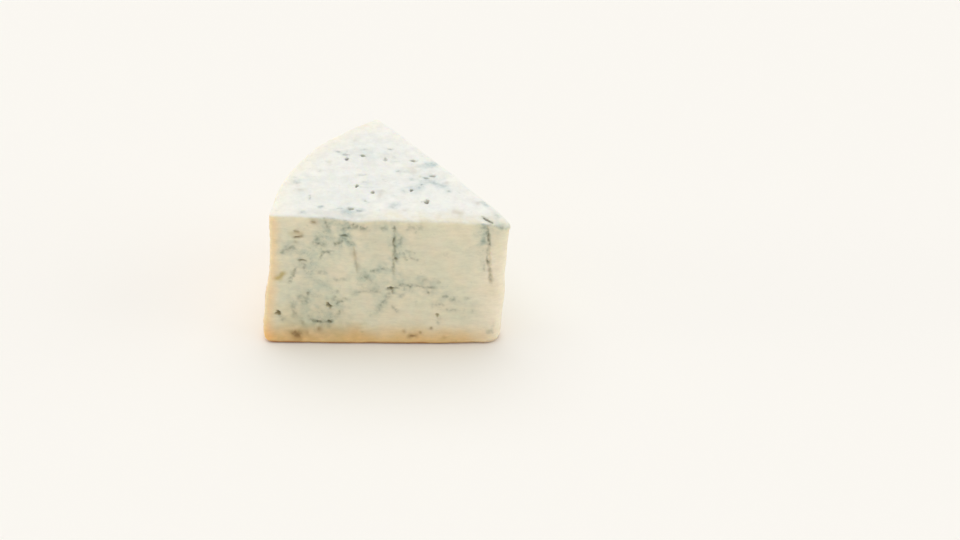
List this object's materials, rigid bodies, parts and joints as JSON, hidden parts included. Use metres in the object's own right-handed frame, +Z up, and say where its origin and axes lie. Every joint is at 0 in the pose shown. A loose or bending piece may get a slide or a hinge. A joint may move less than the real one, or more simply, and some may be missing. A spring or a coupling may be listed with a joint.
{
  "type": "blue cheese wedge",
  "caption": "Wedge of a tall wheel of creamy blue-veined cheese, with a thin pale rind on its curved side and base, cut faces and needle holes on the others.",
  "frame": {"origin": "middle of the bounding box's bottom, on the flat rind that the wedge stands on", "axes": "+X from the round rind to the tip, along the front cut; -Y is the way the front cut faces; +Z up to the level top cut"},
  "size_m": [0.1458, 0.1238, 0.0866],
  "materials": {
    "cheese": "moist cream-white paste with blue-grey mould veins, pockets and needle holes, and a thin warm cream rind"
  },
  "bodies": {
    "root": {"cheese": "cheese"}
  },
  "joints": []
}
